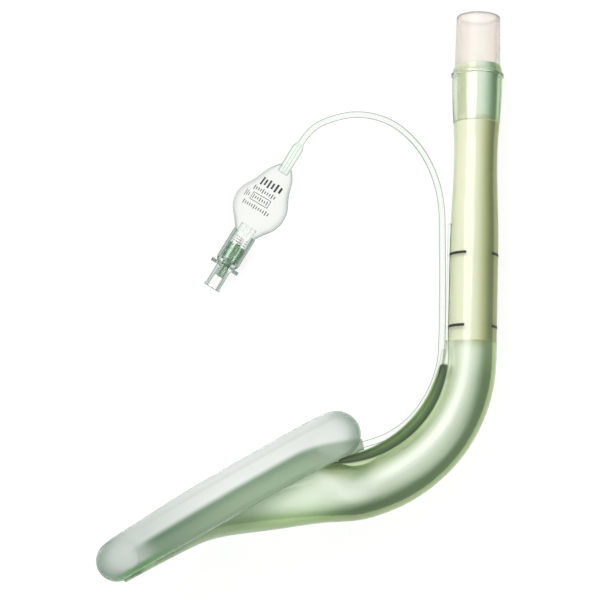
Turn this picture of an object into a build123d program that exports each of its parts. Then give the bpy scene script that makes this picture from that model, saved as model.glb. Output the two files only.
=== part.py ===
"""Laryngeal mask airway for adults, lying on its side as it comes to rest on a flat surface.

A soft green-tinted tube and its bowl are one moulding. An inflatable cuff runs round the bowl. A pilot line
leaves the cuff's heel, rides on the inside of the bend and ends in a pilot balloon with a check valve.

Pieces of the airway are drawn in the device frame: the mid-plane is XY, the straight tube's axis is Y with
the connector at +Y, and the bend starts at y = 0 and turns to -X. They are then laid down in the frame that
is written out: +Z up from the surface, the straight tube along +Y, the origin under the middle of the airway.
The pilot line, the balloon and the valve lie on the surface and are drawn in that second frame.
"""

from build123d import *

import os
from math import asin, atan2, cos, degrees, hypot, pi, radians, sin, sqrt, tan

os.makedirs("parts", exist_ok=True)

# Airway tube
tube_d = 16.7  # outside, through the bend
tube_top_d = 15.4  # outside, just under the sleeve
tube_waist_d = 16.0  # outside, half way up
straight_length = 82.3  # from the start of the bend to the connector's spigot
waist_share = 0.62  # of the straight length, up to the waist
parallel_share = 0.4  # of the straight length, before the tube narrows
bend_radius = 48.4
bend_end_height = 19.0  # the section grows taller and wider towards the bowl
bend_end_width = 18.6
bend_growth_turn = 75.0  # degrees of the bend over which it grows
tube_wall = 2.2

# Sleeve of the tube that grips the connector
sleeve_start_d = 16.1
sleeve_end_d = 17.4
sleeve_taper_length = 4.5  # below the spigot's end
bead_d = 18.3
bead_section_d = 2.0
collar_length = 2.6  # from the bead to the middle of the slanted end
collar_wall = 0.95
collar_lip = 0.35  # wall at the collar's end
collar_slant = 4.3  # degrees, the end isn't cut square
collar_slant_turn = 34.0  # degrees about the tube, from the upper side towards +X

# Connector, 15 mm conical
cone_gauge_d = 15.47  # outside, at the gauge plane
cone_gauge_depth = 10.0  # from the open end to the gauge plane
cone_taper = 1 / 40
cone_length = 21.0
connector_wall = 1.35
spigot_d = 13.6
spigot_length = 16.4
spigot_lead = 0.5  # of the chamfer that starts it into the sleeve
spigot_lead_length = 1.2
bore_step_length = 1.5  # from the spigot's bore to the cone's

# Bite block inside the straight tube
bite_block_d = 12.8
bite_block_wall = 1.1
bite_block_start = 5.4  # above the start of the bend
bite_block_gap = 0.3  # to the connector's spigot
rim_share = 0.3  # of the wall, rounding of the liner's and the connector's rims

# Cuff, measured on the middle of its tube
heel_x = -44.7
heel_y = -27.4
cuff_pitch = 31.7  # degrees below square to the straight tube
cuff_length = 84.4
cuff_half_width = 18.4
cuff_widest_at = 34.0
cuff_heel_radius = 13.0
cuff_heel_turn = 60.0  # degrees of the round heel on each side
cuff_tip_radius = 8.6
cuff_tip_turn = 70.0
cuff_heel_section_r = 8.0
cuff_section_r = 7.6
cuff_tip_section_r = 6.9
cuff_taper_share = 0.4  # of the cuff's length, where its tube narrows to the tip
cuff_wall = 0.7
cuff_stations = 12

# Neck of the cuff that takes the pilot line
neck_x = -36.0
neck_y = -30.3
neck_droop = 15.0  # degrees below the way to the tip
neck_d = 3.8
neck_length = 6.0

# Bowl under the cuff
bowl_wall = 1.8
bowl_depth = 30.9  # from the cuff's middle plane to the back, at the heel
bowl_slope = 0.415  # depth lost for each millimetre towards the tip
bowl_round_end = 19.0  # the back follows the bend's arc as far as this
bowl_stations = (0.213, 0.355, 0.498, 0.64, 0.758, 0.877)  # shares of the cuff's length
bowl_blend = 2.0  # between the back and the bed of the cuff
saddle_at = 1.0  # from the heel, where the bend runs into the bowl
saddle_swell = 0.6  # of the bowl past the bend's half width
mouth_at = 9.0  # from the heel, where the bowl opens
mouth_inset = 1.2
mouth_roof = 2.0  # below the cuff's middle plane
mouth_hollow_half_width = 8.6
mouth_hollow_roof = 5.6
bowl_inset = 2.5  # the bowl's side stands this far inside the middle of the cuff's tube
bowl_rim_width = 5.4
bowl_rise = 4.0
tongue_stations = (-1.6, 0.9)  # past the middle of the tip
aperture_end = 12.0  # from the middle of the tip back to the end of the hollow
tongue_thickness = 1.2
tongue_share = 0.6  # of the tongue's thickness that shows below the cuff
tongue_half_width = 3.6
tongue_roof = 1.0
aperture_end_half_width = 2.6

# Keel under the bend and low rail beside the tube, which carry the pilot line
keel_width = 5.0
keel_start_below = 2.0  # from the start of the bend to the keel's round end
keel_end_turn = 80.0  # degrees about the middle of the line's arc
keel_lip_rise = 0.15  # of the keel's edges past the middle of the line
line_arc_x = -51.5
line_arc_y = 5.9
line_arc_radius = 41.6
rail_height = 0.65
rail_width = 3.2
rail_length = 46.0
line_seat_clearance = 0.25

# Pilot line, and its route in the frame that is written out
line_d = 2.2
line_bore = 1.2
line_route = [
    (20.81, -50.81, 17.76),
    (26.93, -49.11, 16.27),
    (36.00, -42.65, 14.06),
    (42.02, -33.61, 12.59),
    (45.63, -23.11, 11.71),
    (45.88, -12.01, 11.65),
    (45.68, 4.49, 11.70),
    (45.24, 20.49, 11.81),
    (44.70, 34.00, 11.40),
    (40.60, 46.20, 9.20),
    (34.20, 56.20, 5.80),
    (24.30, 65.00, 2.50),
    (11.90, 68.50, 1.20),
    (1.00, 65.50, 3.20),
    (-4.85, 61.34, 4.60),
    (-7.66, 56.61, 4.60),
]

# Pilot balloon
port_d = 4.1
port_length = 9.5  # in sight above the balloon
port_taper_length = 1.6
port_seat = 2.6  # depth of the port in the balloon's neck
port_lip = 0.3  # wall at the port's thin end
port_chamfer = 0.4
balloon_length = 28.0
balloon_half_width = 9.6
balloon_half_thickness = 4.6
balloon_neck_d = 5.2
balloon_tail_d = 8.4
balloon_wall = 0.5
neck_share = 0.2  # of the balloon's length, depth of the port's bore
tail_share = 0.15  # of the balloon's length, depth of the cap's bore

# Check valve, measured from its open luer end
valve_length = 22.4
luer_d = 5.7
luer_rim_d = 6.2
luer_rim_length = 0.8
luer_length = 9.2
luer_bore_d = 4.27
luer_bore_depth = 7.5
luer_taper = 0.06
lug_at = 8.9
lug_span = 9.4
lug_size = 1.3
lug_end_d = 1.95
shoulder_length = 2.4
barrel_d = 8.8
barrel_bore = 7.2
seat_at = 10.9
seat_hole_d = 3.5
cap_length = 1.3
cap_hole_d = 2.4
cap_spigot_d = 6.4
cap_spigot_length = 3.2
cap_chamfer = 0.4
seal_d = 5.6
seal_thickness = 0.8
seal_rest_gap = 0.1
seal_edge = 0.2
core_d = 6.4
core_root_d = 4.6
core_rib_width = 0.7
core_ribs = 8
stem_d = 3.1
stem_end_at = 4.8
stem_slot_width = 1.0
stem_slot_length = 4.0
guide_d = 2.0
guide_length = 1.2
valve_travel = 1.5
spring_d = 5.2
spring_wire_d = 0.45
spring_coils = 3
spring_end_gap = 0.1

fit = 0.05  # between pieces that are bonded or pressed together
arc_share = 0.45  # of the shorter run beside each corner of the line


def smooth_max(a, b, blend):
    """The larger of two values, with a soft change from one to the other."""
    return (a + b + sqrt((a - b) ** 2 + blend**2)) / 2


def ease(share):
    """0 below 0, 1 above 1, and smooth in between."""
    clipped = min(max(share, 0.0), 1.0)
    return clipped * clipped * (3 - 2 * clipped)


# Places in the device frame
tube_r = tube_d / 2
bend_centre = Vector(-bend_radius, 0)
pitch = radians(cuff_pitch)
cuff_plane = Plane(origin=(heel_x, heel_y, 0), x_dir=(-cos(pitch), -sin(pitch), 0), z_dir=(0, 0, 1))
back_angle = 90 - cuff_pitch  # where the bend's radius is square to the cuff's length
spigot_end_y = straight_length
bead_y = spigot_end_y + spigot_length
collar_end_y = bead_y + collar_length
connector_end_y = bead_y + cone_length
cone_end_r = (cone_gauge_d - cone_gauge_depth * cone_taper) / 2
cone_base_r = cone_end_r + cone_length * cone_taper / 2
spigot_r = spigot_d / 2
cap_at = valve_length - cap_length
spring_solid_length = (spring_coils + 1) * spring_wire_d + 2 * spring_end_gap
core_body_end = cap_at - valve_travel - spring_solid_length


def cuff_radius(along):
    """Radius of the cuff's tube at a distance from the heel."""
    tip = ease((along / cuff_length - 1) / cuff_taper_share + 1)
    heel = ease(1 - along / cuff_widest_at)
    swelling = heel * (cuff_heel_section_r - cuff_section_r)
    narrowing = tip * (cuff_tip_section_r - cuff_section_r)
    return cuff_section_r + swelling + narrowing


# Half of the cuff's centre line seen square to the cuff: (along, aside)
heel_turn = radians(cuff_heel_turn)
tip_turn = radians(cuff_tip_turn)
heel_end = (cuff_heel_radius * (1 - cos(heel_turn)), cuff_heel_radius * sin(heel_turn))
tip_centre = cuff_length - cuff_tip_radius
tip_start = (tip_centre + cuff_tip_radius * cos(tip_turn), cuff_tip_radius * sin(tip_turn))
with BuildLine() as cuff_plan:
    CenterArc((cuff_heel_radius, 0), cuff_heel_radius, 180, -cuff_heel_turn)
    Spline(
        heel_end,
        (cuff_widest_at, cuff_half_width),
        tip_start,
        tangents=((sin(heel_turn), cos(heel_turn)), (sin(tip_turn), -cos(tip_turn))),
    )
    CenterArc((tip_centre, 0), cuff_tip_radius, cuff_tip_turn, -cuff_tip_turn)
plan_wire = cuff_plan.wires()[0]
ring = [plan_wire @ (i / cuff_stations) for i in range(cuff_stations + 1)]
if ring[0].X > ring[-1].X:
    ring.reverse()


def aside_at(along):
    """Half width of the cuff's centre line at a distance from the heel."""
    for near, far in zip(ring, ring[1:]):
        if near.X <= along <= far.X:
            return near.Y + (far.Y - near.Y) * (along - near.X) / (far.X - near.X)
    return 0.0


def ring_point(index):
    """Centre and radius of the cuff's tube at a station. Stations past the ends are mirror images."""
    side = 1
    if index < 0 or index > cuff_stations:
        side = -1
        index = -index if index < 0 else 2 * cuff_stations - index
    station = ring[index]
    return cuff_plane.from_local_coords(Vector(station.X, 0, side * station.Y)), cuff_radius(station.X)


def cuff_half(shrink):
    """Loft of round sections along half of the ring and one station past each end, cut at the mid-plane."""
    with BuildPart() as half:
        for i in range(-1, cuff_stations + 2):
            centre, radius = ring_point(i)
            ahead = ring_point(min(i + 1, cuff_stations + 1))[0]
            behind = ring_point(max(i - 1, -1))[0]
            with BuildSketch(Plane(origin=centre, x_dir=cuff_plane.y_dir, z_dir=ahead - behind)):
                Circle(radius - shrink)
        loft()
        split(bisect_by=Plane.XY, keep=Keep.TOP)
    return half.part


def cuff_solid(shrink=0.0):
    with BuildPart() as whole:
        add(cuff_half(shrink))
        mirror(about=Plane.XY)
    return whole.part


# Neck of the cuff, along the pilot line's last run
neck_angle = radians(neck_droop)
neck_plane = Plane(origin=(neck_x, neck_y, 0), z_dir=(-cos(neck_angle), -sin(neck_angle), 0))


def make_cuff():
    with BuildPart() as cuff:
        add(cuff_solid())
        with BuildSketch(neck_plane):
            Circle(neck_d / 2)
        extrude(amount=neck_length)
        add(cuff_solid(cuff_wall), mode=Mode.SUBTRACT)
        with BuildSketch(neck_plane):
            Circle(line_bore / 2)
        extrude(amount=neck_length, mode=Mode.SUBTRACT)
    return cuff.part


def bend_height(angle):
    return tube_d + (bend_end_height - tube_d) * ease(angle / bend_growth_turn)


def bend_width(angle):
    return tube_d + (bend_end_width - tube_d) * ease(angle / bend_growth_turn)


def back_depth(along):
    """Depth of the back below the cuff's middle plane."""
    centre = cuff_plane.to_local_coords(Vector(bend_centre.X, bend_centre.Y, 0))
    outer = bend_radius + tube_r
    round_back = centre.Y + sqrt(max(outer**2 - (along - centre.X) ** 2, 0))
    straight_back = bowl_depth - bowl_slope * along
    back = straight_back if along > bowl_round_end else round_back
    under_cuff = cuff_radius(along) + tongue_thickness * tongue_share
    past_tip = max(along - cuff_length, 0)
    return smooth_max(back, sqrt(under_cuff**2 - past_tip**2), bowl_blend)


def bend_section(angle, shrink):
    """Plane and half sizes of the ellipse across the bend. The outer side keeps one radius."""
    turn = radians(angle)
    outward = Vector(cos(turn), -sin(turn))
    middle = bend_centre + outward * (bend_radius + tube_r - bend_height(angle) / 2)
    plane = Plane(origin=middle, x_dir=(0, 0, 1), z_dir=(-sin(turn), -cos(turn), 0))
    return plane, bend_width(angle) / 2 - shrink, bend_height(angle) / 2 - shrink


def bowl_section(along, half_width, top, bottom):
    """Plane and half sizes of the ellipse across the cuff's length, from a top to a bottom depth."""
    middle = cuff_plane.from_local_coords(Vector(along, (top + bottom) / 2, 0))
    plane = Plane(origin=middle, x_dir=(0, 0, 1), z_dir=cuff_plane.x_dir)
    return plane, half_width, (bottom - top) / 2


bend_angles = (0, 6, 15, 27, 40, back_angle)
hollow_end = cuff_length - aperture_end
saddle_roof = back_depth(saddle_at) - bend_end_height

body_sections = [bend_section(angle, 0) for angle in bend_angles]
saddle_half_width = bend_end_width / 2 + saddle_swell
body_sections.append(bowl_section(saddle_at, saddle_half_width, saddle_roof, back_depth(saddle_at)))
mouth_half_width = aside_at(mouth_at) - mouth_inset
body_sections.append(bowl_section(mouth_at, mouth_half_width, mouth_roof, back_depth(mouth_at)))
for share in bowl_stations:
    along = share * cuff_length
    body_sections.append(bowl_section(along, aside_at(along) - bowl_inset, -bowl_rise, back_depth(along)))
for past_tip in tongue_stations:
    along = cuff_length + past_tip
    body_sections.append(bowl_section(along, tongue_half_width, tongue_roof, back_depth(along)))

hollow_sections = [bend_section(angle, tube_wall) for angle in bend_angles]
saddle_floor = back_depth(saddle_at) - tube_wall
saddle_side = bend_end_width / 2 - tube_wall
hollow_sections.append(bowl_section(saddle_at, saddle_side, saddle_roof + tube_wall, saddle_floor))
mouth_floor = back_depth(mouth_at) - bowl_wall
hollow_sections.append(bowl_section(mouth_at, mouth_hollow_half_width, mouth_hollow_roof, mouth_floor))
for share in bowl_stations[:-1]:
    along = share * cuff_length
    side = aside_at(along) - bowl_inset - bowl_rim_width
    hollow_sections.append(bowl_section(along, side, -bowl_rise, back_depth(along) - bowl_wall))
hollow_floor = back_depth(hollow_end) - bowl_wall
hollow_sections.append(bowl_section(hollow_end, aperture_end_half_width, -bowl_rise, hollow_floor))


def make_tube():
    with BuildPart() as tube:
        # Straight tube, sleeve, bead and collar
        collar_r = cone_base_r + fit + collar_wall
        collar_top = collar_end_y + collar_length
        collar_top_r = collar_r - 2 * (collar_wall - collar_lip)
        with BuildSketch(Plane.XY):
            with BuildLine():
                Polyline((tube_r, 0), (0, 0), (0, collar_top), (collar_top_r, collar_top), (collar_r, bead_y))
                Line((collar_r, bead_y), (sleeve_end_d / 2, bead_y))
                Spline(
                    (sleeve_end_d / 2, bead_y),
                    (sleeve_start_d / 2, spigot_end_y),
                    (tube_top_d / 2, spigot_end_y - sleeve_taper_length),
                    (tube_waist_d / 2, straight_length * waist_share),
                    (tube_r, straight_length * parallel_share),
                    tangents=((0, -1), (0, -1)),
                )
                Line((tube_r, straight_length * parallel_share), (tube_r, 0))
            make_face()
        revolve(axis=Axis.Y)
        with BuildSketch(Plane.XY):
            with Locations((bead_d / 2 - bead_section_d / 2, bead_y)):
                Circle(bead_section_d / 2)
        revolve(axis=Axis.Y)

        # Bend and bowl
        for plane, half_width, half_height in body_sections:
            with BuildSketch(plane):
                Ellipse(half_width, half_height)
        loft()

        # Keel under the bend and rail beside the straight tube
        lip_radius = line_arc_radius - keel_lip_rise
        keel_reach = 2.4 * line_arc_radius
        with BuildSketch(Plane.XY) as keel_side:
            with Locations((line_arc_x, line_arc_y)):
                Circle(lip_radius + bend_end_height / 2)
                Circle(lip_radius, mode=Mode.SUBTRACT)
            with BuildLine():
                Polyline(
                    (line_arc_x, line_arc_y),
                    (line_arc_x + keel_reach, -keel_start_below),
                    (line_arc_x + keel_reach, line_arc_y - keel_reach),
                    (line_arc_x + keel_reach / tan(radians(keel_end_turn)), line_arc_y - keel_reach),
                    close=True,
                )
            make_face(mode=Mode.INTERSECT)
        extrude(amount=keel_width / 2, both=True)
        with BuildSketch(Plane.XY):
            with Locations((-tube_r, (rail_length - keel_start_below) / 2)):
                Rectangle(2 * rail_height, rail_length + keel_start_below)
        extrude(amount=rail_width / 2, both=True)

        # Lumen and hollow of the bowl
        for plane, half_width, half_height in hollow_sections:
            with BuildSketch(plane):
                Ellipse(half_width, half_height)
        loft(mode=Mode.SUBTRACT)

        # Bores for the bite block, the spigot and the foot of the cone, and the lumen below them
        with BuildSketch(Plane.XY):
            with BuildLine():
                Polyline(
                    (0, 0),
                    (tube_r - tube_wall, 0),
                    (tube_r - tube_wall, bite_block_start),
                    (bite_block_d / 2 + fit, bite_block_start),
                    (bite_block_d / 2 + fit, spigot_end_y - bite_block_gap),
                    (spigot_r + fit, spigot_end_y - bite_block_gap),
                    (spigot_r + fit, bead_y),
                    (cone_base_r + fit, bead_y),
                    (cone_base_r + fit, collar_top),
                    (0, collar_top),
                    close=True,
                )
            make_face()
        revolve(axis=Axis.Y, mode=Mode.SUBTRACT)

        # Slanted end of the collar
        slant = radians(collar_slant)
        slant_turn = radians(collar_slant_turn)
        square_to_slant = (-sin(slant) * sin(slant_turn), cos(slant), -sin(slant) * cos(slant_turn))
        with BuildSketch(Plane(origin=(0, collar_end_y, 0), z_dir=square_to_slant)):
            Rectangle(2 * bead_d, 2 * bead_d)
        extrude(amount=2 * collar_length, mode=Mode.SUBTRACT)

        # Open top of the bowl, the bed of the cuff and the groove for the pilot line
        with BuildSketch(cuff_plane.offset(-2 * cuff_half_width)):
            with Locations((cuff_length, -cuff_length)):
                Rectangle(2 * cuff_length, 2 * cuff_length)
        extrude(amount=4 * cuff_half_width, mode=Mode.SUBTRACT)
        add(cuff_solid(-fit), mode=Mode.SUBTRACT)
        seat_r = line_d / 2 + line_seat_clearance
        with BuildSketch(Plane.XZ.offset(-line_arc_y)):
            with Locations((line_arc_x + line_arc_radius, 0)):
                Circle(seat_r)
        arc_axis = Axis((line_arc_x, line_arc_y, 0), (0, 0, -1))
        revolve(axis=arc_axis, revolution_arc=keel_end_turn, mode=Mode.SUBTRACT)
    return tube.part


def make_connector():
    inner_r = cone_end_r - connector_wall
    spigot_inner_r = spigot_r - connector_wall
    with BuildPart() as connector:
        with BuildSketch(Plane.XY):
            with BuildLine():
                Polyline(
                    (inner_r, connector_end_y),
                    (cone_end_r, connector_end_y),
                    (cone_base_r, bead_y + fit),
                    (spigot_r, bead_y + fit),
                    (spigot_r, spigot_end_y + spigot_lead_length),
                    (spigot_r - spigot_lead, spigot_end_y),
                    (spigot_inner_r, spigot_end_y),
                    (spigot_inner_r, bead_y),
                    (inner_r, bead_y + bore_step_length),
                    close=True,
                )
            make_face()
        revolve(axis=Axis.Y)
        ends = connector.edges().filter_by(GeomType.CIRCLE).group_by(Axis.Y)[-1]
        fillet(ends, radius=connector_wall * rim_share)
    return connector.part


def make_bite_block():
    with BuildPart() as block:
        with BuildSketch(Plane.XZ.offset(-bite_block_start - fit)):
            Circle(bite_block_d / 2)
            Circle(bite_block_d / 2 - bite_block_wall, mode=Mode.SUBTRACT)
        extrude(amount=-(spigot_end_y - 2 * bite_block_gap - bite_block_start))
        rims = block.edges().filter_by(GeomType.CIRCLE)
        fillet(rims, radius=bite_block_wall * rim_share)
    return block.part


# The airway lies turned about the straight tube, with the bead and the cuff touching the surface
bead_r = bead_d / 2


def lying_angle():
    angles = []
    for index in range(cuff_stations + 1):
        centre, radius = ring_point(index)
        reach = hypot(centre.X, centre.Z)
        angles.append(atan2(centre.Z, -centre.X) + asin((radius - bead_r) / reach))
    return degrees(max(angles))


lying = Location((0, 0, bead_r), (0, lying_angle(), 0))
airway = {
    "airway_tube": make_tube(),
    "connector": make_connector(),
    "bite_block": make_bite_block(),
    "cuff": make_cuff(),
}
laid = {name: piece.moved(lying) for name, piece in airway.items()}
boxes = [piece.bounding_box() for piece in laid.values()]
middle_x = (min(box.min.X for box in boxes) + max(box.max.X for box in boxes)) / 2
middle_y = (min(box.min.Y for box in boxes) + max(box.max.Y for box in boxes)) / 2
centring = Location((-middle_x, -middle_y, -min(box.min.Z for box in boxes)))
pieces = {name: piece.moved(centring) for name, piece in laid.items()}


def corner_radii(points):
    """The largest radius at each corner that leaves a tenth of the shorter run straight."""
    radii = []
    for before, corner, after in zip(points, points[1:], points[2:]):
        arriving = Vector(corner) - Vector(before)
        leaving = Vector(after) - Vector(corner)
        half_turn = radians(arriving.get_angle(leaving)) / 2
        radii.append(arc_share * min(arriving.length, leaving.length) / tan(half_turn))
    return radii


def make_line():
    radii = corner_radii(line_route)
    with BuildPart() as line:
        with BuildLine() as route:
            FilletPolyline(*line_route, radius=radii)
        path = route.wires()[0]
        with BuildSketch(Plane(origin=path @ 0, z_dir=path % 0)):
            Circle(line_d / 2)
            Circle(line_bore / 2, mode=Mode.SUBTRACT)
        sweep()
    section = pi * (line_d**2 - line_bore**2) / 4
    print("line radii", [round(radius, 1) for radius in radii])
    print("line volume", round(line.part.volume, 2), "section x length", round(section * path.length, 2))
    return line.part


# Balloon and valve lie level, along the pilot line's last run
line_end = Vector(line_route[-1])
line_heading = (line_end - Vector(line_route[-2])).normalized()
level = line_heading.cross(Vector(0, 0, 1))
port_plane = Plane(origin=line_end, x_dir=level, z_dir=line_heading)
balloon_plane = port_plane.offset(port_length)
valve_end = balloon_plane.offset(balloon_length + valve_length)
valve_plane = Plane(origin=valve_end.origin, x_dir=level, z_dir=-line_heading)


def make_port():
    with BuildPart() as port:
        with BuildSketch(Plane.XZ):
            with BuildLine():
                Polyline(
                    (line_bore / 2, 0),
                    (line_d / 2 + port_lip, 0),
                    (port_d / 2, port_taper_length),
                    (port_d / 2, port_length + port_seat - port_chamfer),
                    (port_d / 2 - port_chamfer, port_length + port_seat),
                    (line_bore / 2, port_length + port_seat),
                    close=True,
                )
            make_face()
        revolve(axis=Axis.Z)
    return port.part


# Shares of the balloon's length from its neck, of its half width and of its half thickness
balloon_outline = (
    (0.13, 0.49, 0.66),
    (0.31, 0.65, 0.84),
    (0.49, 0.92, 0.96),
    (0.63, 1.0, 1.0),
    (0.77, 0.85, 0.98),
    (0.90, 0.56, 0.95),
)


def balloon_sections(shrink):
    """Offset and half sizes of the balloon's ellipses, from the neck to the tail."""
    sections = [(0.0, balloon_neck_d / 2 - shrink, balloon_neck_d / 2 - shrink)]
    for at, width, thickness in balloon_outline:
        half_width = balloon_half_width * width - shrink
        half_thickness = balloon_half_thickness * thickness - shrink
        sections.append((at * balloon_length, half_width, half_thickness))
    sections.append((balloon_length, balloon_tail_d / 2 - shrink, balloon_tail_d / 2 - shrink))
    return sections


def make_balloon():
    with BuildPart() as balloon:
        for at, half_width, half_thickness in balloon_sections(0):
            with BuildSketch(Plane.XY.offset(at)):
                Ellipse(half_width, half_thickness)
        loft()
        for at, half_width, half_thickness in balloon_sections(balloon_wall)[1:-1]:
            with BuildSketch(Plane.XY.offset(at)):
                Ellipse(half_width, half_thickness)
        loft(mode=Mode.SUBTRACT)
        with BuildSketch(Plane.XY):
            Circle(port_d / 2 + fit)
        extrude(amount=balloon_length * neck_share, mode=Mode.SUBTRACT)
        with BuildSketch(Plane.XY.offset(balloon_length)):
            Circle(cap_spigot_d / 2 + fit)
        extrude(amount=-balloon_length * tail_share, mode=Mode.SUBTRACT)
    return balloon.part


def make_valve_body():
    luer_end_bore = luer_bore_d - luer_taper * luer_bore_depth
    with BuildPart() as body:
        with BuildSketch(Plane.XZ):
            with BuildLine():
                Polyline(
                    (barrel_d / 2, luer_length + shoulder_length),
                    (barrel_d / 2, valve_length),
                    (barrel_bore / 2, valve_length),
                    (barrel_bore / 2, seat_at),
                    (seat_hole_d / 2, seat_at),
                    (seat_hole_d / 2, luer_bore_depth),
                    (luer_end_bore / 2, luer_bore_depth),
                    (luer_bore_d / 2, 0),
                    (luer_rim_d / 2, 0),
                    (luer_rim_d / 2, luer_rim_length),
                    (luer_d / 2, luer_rim_length),
                    (luer_d / 2, luer_length),
                )
                TangentArc(
                    (barrel_d / 2, luer_length + shoulder_length),
                    (luer_d / 2, luer_length),
                    tangent=(0, -1),
                )
            make_face()
        revolve(axis=Axis.Z)
        with BuildSketch(Plane.XY.offset(lug_at - lug_size / 2)):
            Rectangle(lug_span, lug_size)
            with Locations((lug_span / 2, 0), (-lug_span / 2, 0)):
                Circle(lug_end_d / 2)
            Circle(luer_d / 2 - fit, mode=Mode.SUBTRACT)
        extrude(amount=lug_size)
    return body.part


def make_valve_cap():
    with BuildPart() as cap:
        with BuildSketch(Plane.XY.offset(cap_at)):
            Circle(barrel_bore / 2 - fit)
        extrude(amount=cap_length)
        with BuildSketch(Plane.XY.offset(valve_length)):
            Circle(cap_spigot_d / 2)
        extrude(amount=cap_spigot_length)
        chamfer(cap.faces().sort_by(Axis.Z)[-1].edges(), length=cap_chamfer)
        with BuildSketch(Plane.XY.offset(cap_at)):
            Circle(cap_hole_d / 2)
        extrude(amount=cap_length + cap_spigot_length, mode=Mode.SUBTRACT)
    return cap.part


seal_at = seat_at + seal_rest_gap
core_at = seal_at + seal_thickness + fit


def make_seal():
    with BuildPart() as seal:
        with BuildSketch(Plane.XY.offset(seal_at)):
            Circle(seal_d / 2)
            Circle(stem_d / 2 + fit, mode=Mode.SUBTRACT)
        extrude(amount=seal_thickness)
        outer_edges = seal.edges().filter_by(GeomType.CIRCLE).sort_by(SortBy.RADIUS)[-2:]
        fillet(outer_edges, radius=seal_edge)
    return seal.part


def make_core():
    """Ribbed plunger with its stem in the luer and a pin that guides the spring."""
    with BuildPart() as core:
        with BuildSketch(Plane.XY.offset(core_at)):
            Circle(core_root_d / 2)
            with PolarLocations(0, core_ribs):
                with Locations((core_d / 4, 0)):
                    Rectangle(core_d / 2, core_rib_width)
        extrude(amount=core_body_end - core_at)
        with BuildSketch(Plane.XY.offset(stem_end_at)):
            Circle(stem_d / 2)
        extrude(amount=core_at - stem_end_at)
        with BuildSketch(Plane.XY.offset(core_body_end)):
            Circle(guide_d / 2)
        extrude(amount=guide_length)
        with BuildSketch(Plane.XY.offset(stem_end_at)):
            Rectangle(stem_slot_width, stem_d * 1.2)
        extrude(amount=stem_slot_length, mode=Mode.SUBTRACT)
    return core.part


def make_spring():
    room = cap_at - core_body_end
    height = room - 2 * spring_end_gap - spring_wire_d
    start = core_body_end + spring_end_gap + spring_wire_d / 2
    radius = (spring_d - spring_wire_d) / 2
    with BuildPart() as spring:
        with BuildLine() as coil:
            Helix(pitch=height / spring_coils, height=height, radius=radius, center=(0, 0, start))
        with BuildSketch(Plane(origin=coil.line @ 0, z_dir=coil.line % 0)):
            Circle(spring_wire_d / 2)
        sweep()
    return spring.part


pieces["pilot_line"] = make_line()
pieces["balloon_port"] = make_port().moved(port_plane.location)
pieces["pilot_balloon"] = make_balloon().moved(balloon_plane.location)
pieces["valve_body"] = make_valve_body().moved(valve_plane.location)
pieces["valve_cap"] = make_valve_cap().moved(valve_plane.location)
pieces["valve_seal"] = make_seal().moved(valve_plane.location)
pieces["valve_core"] = make_core().moved(valve_plane.location)
pieces["valve_spring"] = make_spring().moved(valve_plane.location)

for name, piece in pieces.items():
    piece.label = name
    export_step(piece, f"parts/{name}.step")
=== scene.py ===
"""Laryngeal mask airway on a plain pale surface, seen from above as in a catalogue picture."""

import math

import bpy
from mathutils import Matrix, Vector


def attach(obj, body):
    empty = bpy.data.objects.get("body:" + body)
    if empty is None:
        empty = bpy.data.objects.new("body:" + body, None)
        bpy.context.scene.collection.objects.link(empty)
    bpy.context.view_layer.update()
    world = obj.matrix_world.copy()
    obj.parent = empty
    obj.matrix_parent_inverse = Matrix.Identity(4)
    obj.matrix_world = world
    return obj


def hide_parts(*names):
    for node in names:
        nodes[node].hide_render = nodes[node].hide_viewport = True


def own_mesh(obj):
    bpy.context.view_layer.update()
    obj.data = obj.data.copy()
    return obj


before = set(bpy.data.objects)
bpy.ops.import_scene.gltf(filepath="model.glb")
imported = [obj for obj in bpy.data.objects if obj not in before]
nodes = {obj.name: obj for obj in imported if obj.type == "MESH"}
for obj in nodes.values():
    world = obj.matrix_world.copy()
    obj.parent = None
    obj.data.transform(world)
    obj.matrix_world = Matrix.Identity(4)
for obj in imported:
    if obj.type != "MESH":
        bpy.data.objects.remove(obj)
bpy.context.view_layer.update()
scene = bpy.context.scene
MM = 0.001

# Where the airway lies: its mid-plane is turned about the straight tube's axis
lying = math.radians(13.6995)
shift = Vector((55.7854, -20.4843, 9.2378))

# The cuff's middle plane in the airway's own frame: its heel, the way to its tip and the way to the back
heel = Vector((-44.7, -27.4))
pitch = math.radians(31.7)
ahead = Vector((-math.cos(pitch), -math.sin(pitch)))
deeper = Vector((math.sin(pitch), -math.cos(pitch)))

# The valve's open end, the way from the balloon's neck to it and the level way across it
luer_end = Vector((-38.2538, 5.1122, 4.6))
heading = Vector((-0.510749, -0.85973, 0.0))
level = Vector((-0.85973, 0.510749, 0.0))

# The airway's own measures in mm that its materials and prints follow
tube_radius = 8.375
bend_radius = 48.4
sleeve_foot = (82.5, 84.0)
line_arc = (-51.5, 5.9, 41.6)
keel_arc = (-46.1, 0.9, 38.1)
line_radius = 1.1
line_bore_radius = 0.6


def place(x, y, w=0.0):
    """A point of the airway's own frame in mm: mid-plane x and y, w towards the viewer."""
    across = x * math.cos(lying) + w * math.sin(lying)
    height = w * math.cos(lying) - x * math.sin(lying)
    return Vector((across + shift.x, y + shift.y, height + shift.z)) * MM


def mix(a, b, share):
    return a + (b - a) * share


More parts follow.
